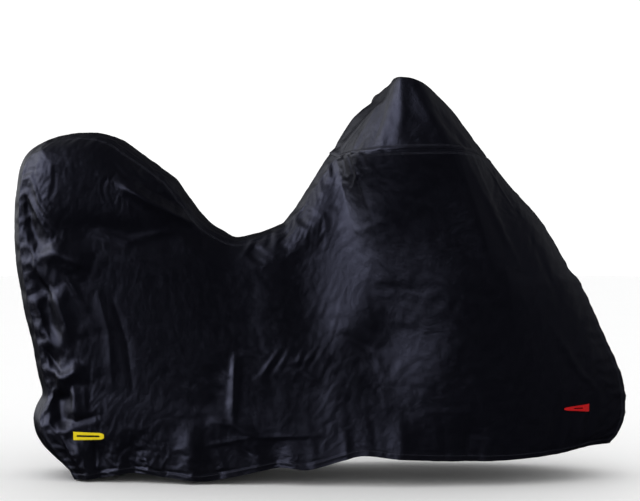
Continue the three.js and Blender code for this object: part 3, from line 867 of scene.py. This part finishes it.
def add_maps(mesh, panel):
    """Maps of where each point lies on the cloth, and along and away from its seams and hem."""
    corner = np.zeros(len(mesh.loops), int)
    mesh.loops.foreach_get("vertex_index", corner)
    for key in ("cloth", "seam", "hem"):
        both = np.stack([values.reshape(-1) for values in np.broadcast_arrays(*panel[key])], axis=-1) * mm
        both = np.concatenate([both, both])
        layer = mesh.uv_layers.new(name=key)
        layer.data.foreach_set("uv", both[corner].astype(np.float32).reshape(-1))


# Each edge of a net, and the line of points beside it.
edge_places = {
    "first_row": (np.s_[:, 0], np.s_[:, 1]),
    "last_row": (np.s_[:, -1], np.s_[:, -2]),
    "first_column": (np.s_[0], np.s_[1]),
    "last_column": (np.s_[-1], np.s_[-2]),
}
sewn = {
    "right_side": ["first_row", "first_column", "last_column"],
    "left_side": ["first_row", "first_column", "last_column"],
    "centre_strip": ["first_row", "last_row", "last_column"],
    "cap": ["first_row", "last_row", "first_column", "last_column"],
    "front_strip": ["first_row", "last_row", "first_column"],
}


def pulled_back(panel, edges):
    """The panel with its sewn edges a little short of their seams."""
    net = panel["net"]
    pull = np.zeros_like(net)
    for edge in edges:
        here, beside = edge_places[edge]
        step = net[beside] - net[here]
        pull[here] += step / np.maximum(np.linalg.norm(step, axis=-1), 1e-6)[..., None]
    length = np.maximum(np.linalg.norm(pull, axis=-1), 1e-6)[..., None]
    panel["net"] = net + np.where(length > 0.5, pull / length, 0) * seam_gap
    return panel


def resampled(values, shape):
    """Values on a net, smoothly read off at the points of a finer net of that shape."""
    for axis, count in enumerate(shape):
        old = values.shape[axis]
        place = np.linspace(0, old - 1, count)
        at = np.clip(place.astype(int), 0, old - 2)
        t = (place - at).reshape([-1 if k == axis else 1 for k in range(values.ndim)])
        before, here, there, after = (
            np.take(values, np.clip(at + k, 0, old - 1), axis=axis) for k in (-1, 0, 1, 2)
        )
        values = run_between(here, there, (there - before) / 2, (after - here) / 2, t)
    return values


def coarse_cloth(coarse):
    """The coarse panels sewn into one object, its points, and which of them each point of a panel is."""
    points, faces, held, loose = [], [], [], []
    start = 0
    for name, panel in coarse.items():
        net = panel["net"]
        points.append(net.reshape(-1, 3) * mm)
        faces.append(net_faces(net.shape[:2])[:, :: -1 if panel["flip"] else 1] + start)
        start += len(points[-1])
        hold = np.full(net.shape[:2], inner_hold)
        for edge, (here, _) in edge_places.items():
            hold[here] = 1.0 if edge in sewn[name] else hem_hold
        held.append(hold.reshape(-1))
        loose.append(panel["loose"].reshape(-1))
    points, faces, held, loose = (np.concatenate(part) for part in (points, faces, held, loose))
    shared = np.round(points, settling_decimals)
    _, kept, place = np.unique(shared, axis=0, return_index=True, return_inverse=True)
    place = place.reshape(-1)
    corners = [list(dict.fromkeys(face)) for face in place[faces].tolist()]
    mesh = bpy.data.meshes.new("settling")
    mesh.from_pydata(points[kept], [], [face for face in corners if len(face) > 2])
    cloth = bpy.data.objects.new("settling", mesh)
    bpy.context.scene.collection.objects.link(cloth)
    for key, weights in (("held", held), ("tight", 1 - loose)):
        group = cloth.vertex_groups.new(name=key)
        for k, weight in enumerate(weights[kept]):
            group.add([k], float(weight), "REPLACE")
    return cloth, points[kept], place


def make_loose(cloth):
    """Gives the object the physics of thin nylon that is held at its seams, with excess where it is loose."""
    modifier = cloth.modifiers.new("cloth", "CLOTH")
    modifier.point_cache.frame_start = 1
    modifier.point_cache.frame_end = settling_frames
    settings = modifier.settings
    settings.quality = 5
    settings.mass = 0.15
    settings.tension_stiffness = settings.compression_stiffness = 30
    settings.shear_stiffness = 8
    settings.bending_stiffness = cloth_bending
    settings.tension_damping = settings.compression_damping = 8
    settings.shear_damping = 5
    settings.bending_damping = 0.5
    settings.air_damping = 2
    settings.vertex_group_mass = "held"
    settings.pin_stiffness = pin_stiffness
    settings.vertex_group_shrink = "tight"
    settings.shrink_min = -cloth_excess
    settings.shrink_max = 0.0
    settings.effector_weights.gravity = cloth_gravity


def settle(coarse, panels):
    """Lets the coarse panels settle as one cloth, and moves the fine panels likewise."""
    cloth, before, place = coarse_cloth(coarse)
    make_loose(cloth)
    for frame_number in range(1, settling_frames + 1):
        bpy.context.scene.frame_set(frame_number)
    seen = cloth.evaluated_get(bpy.context.evaluated_depsgraph_get()).data
    after = np.zeros(before.size, np.float32)
    seen.vertices.foreach_get("co", after)
    moved = (after.reshape(-1, 3) - before)[place] / mm
    mesh = cloth.data
    bpy.data.objects.remove(cloth)
    bpy.data.meshes.remove(mesh)
    bpy.context.scene.frame_set(1)
    start = 0
    for name, panel in coarse.items():
        shape = panel["net"].shape
        move = moved[start : start + shape[0] * shape[1]].reshape(shape)
        start += shape[0] * shape[1]
        size = np.maximum(np.linalg.norm(move, axis=-1, keepdims=True), 1e-6)
        move = move * np.minimum(size, most_moved) / size
        panels[name]["net"] += resampled(move, panels[name]["net"].shape[:2])


class Shader:
    """Node shading, built one node at a time."""

    def __init__(self, tree):
        self.tree = tree

    def add(self, kind, inputs=None, **settings):
        node = self.tree.nodes.new(kind)
        for key, value in settings.items():
            setattr(node, key, value)
        for key, value in (inputs or {}).items():
            self.set(node, key, value)
        return node

    def set(self, node, key, value):
        """Gives a node's input a value, or links it to another node's output."""
        socket = node.inputs[key]
        if isinstance(value, bpy.types.NodeSocket):
            self.tree.links.new(value, socket)
        else:
            socket.default_value = value

    def math(self, operation, *values):
        return self.add("ShaderNodeMath", dict(enumerate(values)), operation=operation).outputs[0]

    def waves(self, value, pitch):
        """Goes up and down once in every pitch, in millimetres, of a value in metres."""
        return self.math("SINE", self.math("MULTIPLY", value, 2 * math.pi / (pitch * mm)))

    def ramp(self, value, start, end, low=0.0, high=1.0):
        """Goes smoothly from low to high while the value goes from start to end."""
        inputs = {"Value": value, "From Min": start, "From Max": end, "To Min": low, "To Max": high}
        node = self.add("ShaderNodeMapRange", inputs, interpolation_type="SMOOTHSTEP")
        return node.outputs["Result"]

    def noise(self, place, scale, detail, roughness, distortion=0.0):
        inputs = {"Vector": place, "Scale": scale, "Detail": detail, "Roughness": roughness}
        return self.add("ShaderNodeTexNoise", {**inputs, "Distortion": distortion}).outputs["Fac"]

    def place(self):
        return self.add("ShaderNodeTexCoord").outputs["Object"]

    def uv(self, name):
        return self.add("ShaderNodeUVMap", uv_map=name).outputs["UV"]

    def split(self, vector):
        node = self.add("ShaderNodeSeparateXYZ", {"Vector": vector})
        return node.outputs["X"], node.outputs["Y"], node.outputs["Z"]

    def mix(self, share, one, other):
        """Mixes two colours. The sockets go by number, because their names repeat in this node."""
        node = self.add("ShaderNodeMix", data_type="RGBA")
        for place, value in ((0, share), (6, one), (7, other)):
            self.set(node, place, value)
        return node.outputs[2]

    def bump(self, height, distance, strength, before=None):
        node = self.add("ShaderNodeBump", {"Height": height, "Distance": distance, "Strength": strength})
        if before is not None:
            self.set(node, "Normal", before)
        return node.outputs["Normal"]

    def threads(self, run, away, rows, stitch):
        """1 on rows of stitches at those distances from an edge."""
        length, half_width = stitch
        phase = self.math("FRACT", self.math("DIVIDE", run, length * mm))
        dash = self.math("LESS_THAN", phase, thread_share)
        mask = 0.0
        for row in rows:
            off = self.math("ABSOLUTE", self.math("SUBTRACT", away, row * mm))
            mask = self.math("MAXIMUM", mask, self.math("LESS_THAN", off, half_width * mm))
        return self.math("MULTIPLY", mask, dash)


def new_material(name):
    """A material, its shader and its surface node."""
    material = bpy.data.materials.new(name)
    material.use_nodes = True
    return material, Shader(material.node_tree), material.node_tree.nodes["Principled BSDF"]


def nylon_material():
    """Thin coated nylon, black with a navy tinge: plain weave, soft crumple, wear and stitched seams."""
    material, shader, surface = new_material("nylon")
    cloth = shader.uv("cloth")
    place = shader.place()
    seam_run, seam_away, _ = shader.split(shader.uv("seam"))
    hem_run, hem_away, _ = shader.split(shader.uv("hem"))
    seam_threads = shader.threads(seam_run, seam_away, seam_stitch_rows, cloth_stitch)
    hem_threads = shader.threads(hem_run, hem_away, hem_stitch_rows, cloth_stitch)
    threads = shader.math("MAXIMUM", seam_threads, hem_threads)

    broad = shader.noise(place, 2.6, 4.0, 0.6)
    patches = shader.noise(place, 34.0, 3.0, 0.7)
    worn = shader.mix(patches, worn_dark, worn_pale)
    wear = shader.ramp(seam_away, 0.0, 0.02, 0.55, 0.08)
    height = shader.split(place)[2]
    dusty = shader.math("MULTIPLY", shader.ramp(height, 0.0, 0.16, 0.22, 0.0), patches)
    tone = shader.mix(broad, nylon_black, nylon_navy)
    tone = shader.mix(wear, tone, worn)
    tone = shader.mix(dusty, tone, dust)
    tone = shader.mix(threads, tone, nylon_thread)
    shader.set(surface, "Base Color", tone)
    shader.set(surface, "Roughness", shader.ramp(patches, 0.3, 0.7, 0.3, 0.42))
    shader.set(surface, "Specular IOR Level", 0.5)
    shader.set(surface, "Specular Tint", nylon_gloss)

    soft = shader.noise(place, 11.0, 5.0, 0.55, 0.5)
    grain = shader.noise(cloth, 160.0, 2.0, 0.6)
    u, v, _ = shader.split(cloth)
    weave = shader.math("MULTIPLY", shader.waves(u, weave_pitch), shader.waves(v, weave_pitch))
    normal = shader.bump(soft, 0.007, 0.5)
    normal = shader.bump(grain, 0.0006, 0.35, normal)
    normal = shader.bump(weave, 0.00012, 0.3, normal)
    normal = shader.bump(threads, 0.0007, 0.8, normal)
    shader.set(surface, "Normal", normal)
    return material


def webbing_material(name, bright, dull):
    """Woven polyester strap: ribs across it, a line of stitches along both edges, dust in the weave."""
    material, shader, surface = new_material(name)
    cloth = shader.uv("cloth")
    u, v, _ = shader.split(cloth)
    seam_run, seam_away, _ = shader.split(shader.uv("seam"))
    weave = shader.math("MULTIPLY", shader.waves(u, rib_pitch), shader.waves(v, cord_pitch))
    threads = shader.threads(seam_run, seam_away, webbing_stitch_rows, webbing_stitch)
    grime = shader.noise(cloth, 90.0, 4.0, 0.65)
    tone = shader.mix(grime, bright, dull)
    tone = shader.mix(shader.math("MULTIPLY_ADD", weave, 0.12, 0.14), tone, dull)
    tone = shader.mix(shader.math("MULTIPLY", threads, 0.6), tone, dull)
    shader.set(surface, "Base Color", tone)
    shader.set(surface, "Roughness", 0.82)
    shader.set(surface, "Specular IOR Level", 0.15)
    normal = shader.bump(weave, 0.0003, 0.6)
    normal = shader.bump(threads, 0.0005, 0.8, normal)
    shader.set(surface, "Normal", normal)
    return material


def paper_material():
    """Pale paper with a very faint mottle."""
    material, shader, surface = new_material("paper")
    mottle = shader.noise(shader.place(), 1.5, 3.0, 0.5)
    darker = (*(0.985 * value for value in pale_paper[:3]), 1)
    shader.set(surface, "Base Color", shader.mix(mottle, pale_paper, darker))
    shader.set(surface, "Roughness", 0.9)
    return material


def place_piece(name, mesh, material, node):
    """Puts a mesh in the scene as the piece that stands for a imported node."""
    mesh.materials.append(material)
    piece = bpy.data.objects.new(name, mesh)
    bpy.context.scene.collection.objects.link(piece)
    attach(piece, "root")
    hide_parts(node)
    return piece


def upper_edge(start, end, start_high, end_high):
    """The upper half of a ring's outline, from one end to the other."""
    edge = [(start, 0)]
    for k in range(1, loop_steps):
        along = (1 - math.cos(math.pi * k / loop_steps)) / 2
        past = max(along - tip_round_from, 0) / (1 - tip_round_from)
        half = (start_high + (end_high - start_high) * along) / 2
        edge.append((start + (end - start) * along, half * math.sqrt(1 - tip_roundness * past**2)))
    return np.array([*edge, (end, 0)])


def cloth_behind(x, z, reach, cloth_tree):
    """How far out, to the right, the cloth stands at a place or at most a reach from it."""
    found = []
    for dx, dz in ((0, 0), (reach, 0), (-reach, 0), (0, reach), (0, -reach)):
        start = (np.array([x + dx, outside_y, z + dz]) + drawn_shift) * mm
        hit = cloth_tree.ray_cast(Vector(start), Vector((0, 1, 0)))[0]
        found.append(hit.y / mm - drawn_shift[1])
    return min(found)


def webbing_loop(loop, cloth_tree):
    """A strap folded flat on itself: a crowned ring round a slot, lying on the cloth at its sewn end."""
    outside = upper_edge(0, loop["length"], loop["root"], loop["tip"])
    inside = upper_edge(loop["slot_from"], loop["slot_to"], loop["slot_high"], loop["slot_high"])
    outside, inside = (np.concatenate([edge, edge[-2::-1] * np.array([1, -1])]) for edge in (outside, inside))
    share = np.linspace(0, 1, loop_across + 1)[None, :, None]
    flat = inside[:, None] * (1 - share) + outside[:, None] * share
    x = loop["x"] + loop["way"] * flat[..., 0]
    z = loop["z"] + flat[..., 1]
    y = np.zeros(x.shape)
    for place in np.ndindex(x.shape):
        y[place] = cloth_behind(x[place], z[place], loop["reach"], cloth_tree)
    off = sewn_stand_off + (loop_stand_off - sewn_stand_off) * ease(flat[..., 0] / loop["slot_from"])
    crowned = loop_crown * np.sin(np.pi * share[..., 0])
    net = np.stack([x, y - off - webbing_thickness - crowned, z], axis=-1)
    run = lengths_along(net, 0)
    across = lengths_along(net, 1)
    away = np.minimum(across, across[:, -1:] - across)
    return {
        "net": net,
        "flip": loop["way"] < 0,
        "cloth": (run, across),
        "seam": (run, away),
        "hem": (run, away),
    }


def cut_panels(fineness):
    """All five panels, at a share of their full fineness."""

    def share(count):
        return round(count * fineness)

    to_cap = np.concatenate([np.linspace(0, box_corner, rows_down + 1), over_stations()[1:]])
    to_hem = np.linspace(cap_front, spine.length, rows_down + 1)
    return {
        "right_side": side_panel(-1, share(finer_right), share(side_rows_right)),
        "left_side": side_panel(1, share(finer_left), share(side_rows_left)),
        "centre_strip": strip(finer(to_cap, share(finer_strip)), True, False),
        "cap": cap(share(finer_cap)),
        "front_strip": strip(finer(to_hem, share(finer_strip)), False, True),
    }


def make_cloth():
    """The five pieces of cloth, by the names of the nodes that they stand for."""
    nylon = nylon_material()
    panels = cut_panels(1)
    settle(cut_panels(settling_fineness), panels)
    pieces = {}
    for name, panel in panels.items():
        panel = pulled_back(panel, sewn[name])
        mesh = thick_mesh(name + "_cloth", panel, cloth_thickness)
        piece = place_piece(name + "_cloth", mesh, nylon, name)
        pieces[name] = piece
    return pieces


def make_loops(cloth_mesh):
    """The two webbing loops, which lie on the cloth of the right side."""
    corners = [v.co.copy() for v in cloth_mesh.vertices]
    cloth_tree = BVHTree.FromPolygons(corners, [tuple(p.vertices) for p in cloth_mesh.polygons])
    for loop in table(loop_columns, loop_rows):
        name = loop["name"]
        slot, bright, dull = webbing_colours[name]
        mesh = thick_mesh(name + "_webbing", webbing_loop(loop, cloth_tree), webbing_thickness, closed=True)
        place_piece(name + "_webbing", mesh, webbing_material(slot, bright, dull), name)


def paper_floor():
    """A round sheet of pale paper, which fades into the pale surroundings."""
    rim = []
    for k in range(floor_steps):
        angle = 2 * math.pi * k / floor_steps
        rim.append((floor_radius * math.cos(angle), floor_radius * math.sin(angle), -floor_depth))
    mesh = bpy.data.meshes.new("paper_floor")
    mesh.from_pydata(rim, [], [list(range(floor_steps))])
    mesh.materials.append(paper_material())
    floor = bpy.data.objects.new("paper_floor", mesh)
    floor.visible_glossy = False
    bpy.context.scene.collection.objects.link(floor)


def area_light(name, place, aim, size, power, colour):
    """A soft rectangular lamp that points at a place."""
    light = bpy.data.lights.new(name, "AREA")
    light.shape = "RECTANGLE"
    light.size, light.size_y = size
    light.energy = power
    light.color = colour
    lamp = bpy.data.objects.new(name, light)
    lamp.location = place
    lamp.rotation_euler = (Vector(aim) - Vector(place)).to_track_quat("-Z", "Y").to_euler()
    bpy.context.scene.collection.objects.link(lamp)


def studio():
    """White surroundings for the floor and the cover's own colour.

    What gloss shows is a dark studio by world direction: one wide, soft window at the rear of the near side,
    two dimmer ones on the far side, a faint glow in front and a dim ceiling at the rear.
    """
    world = bpy.data.worlds.new("studio")
    world.use_nodes = True
    shader = Shader(world.node_tree)
    x, y, z = shader.split(shader.add("ShaderNodeTexCoord").outputs["Generated"])
    window = shader.math("MULTIPLY", shader.ramp(x, -0.3, -0.9), shader.ramp(y, 0.55, 0.1))
    window = shader.math("MULTIPLY", window, shader.ramp(z, 0.3, 0.7, 1.0, 0.2))
    far_front = shader.ramp(x, 0.3, 0.65, 0.0, far_front_window)
    far = shader.math("MULTIPLY_ADD", shader.ramp(x, -0.3, -0.65), far_window, far_front)
    far = shader.math("MULTIPLY", shader.ramp(y, 0.2, 0.6), far)
    front = shader.ramp(x, 0.5, 0.9, 0.0, front_glow)
    ceiling = shader.math("MULTIPLY", shader.ramp(x, 0.2, -0.5), shader.ramp(z, 0.45, 1.0))
    level = shader.math("ADD", shader.math("MULTIPLY_ADD", window, near_window, far), front)
    level = shader.math("MULTIPLY", shader.ramp(z, -0.14, 0.14), level)
    level = shader.math("ADD", shader.math("MULTIPLY_ADD", ceiling, ceiling_glow, level), least_glow)
    lamp = shader.add("ShaderNodeBackground", {"Color": (0.95, 0.97, 1, 1), "Strength": level})
    pale = shader.add("ShaderNodeBackground", {"Color": (1, 1, 1, 1), "Strength": surroundings})
    is_gloss = shader.add("ShaderNodeLightPath").outputs["Is Glossy Ray"]
    inputs = {0: is_gloss, 1: pale.outputs["Background"], 2: lamp.outputs["Background"]}
    seen = shader.add("ShaderNodeMixShader", inputs).outputs["Shader"]
    shader.set(world.node_tree.nodes["World Output"], "Surface", seen)
    bpy.context.scene.world = world


def photo_camera():
    """The camera, level and square to the cover's right-hand side."""
    camera_data = bpy.data.cameras.new("photo")
    camera_data.lens = camera_data.sensor_width * seen_focus / picture_width
    camera_data.clip_end = 1.5 * floor_radius
    camera = bpy.data.objects.new("photo", camera_data)
    camera.location = (drawn_shift + np.array([0, -seen_from, seen_height])) * mm
    camera.rotation_euler = (math.pi / 2, 0, 0)
    bpy.context.scene.collection.objects.link(camera)
    bpy.context.scene.camera = camera


pieces = make_cloth()
make_loops(pieces["right_side"].data)
paper_floor()
studio()
area_light(
    "key",
    place=(-3.6, -3.2, 3.6),
    aim=(-0.1, 0, 0.7),
    size=(2.6, 2.0),
    power=8,
    colour=(1, 0.99, 0.97),
)
bpy.context.scene.view_settings.view_transform = "Standard"
photo_camera()

bpy.context.view_layer.update()
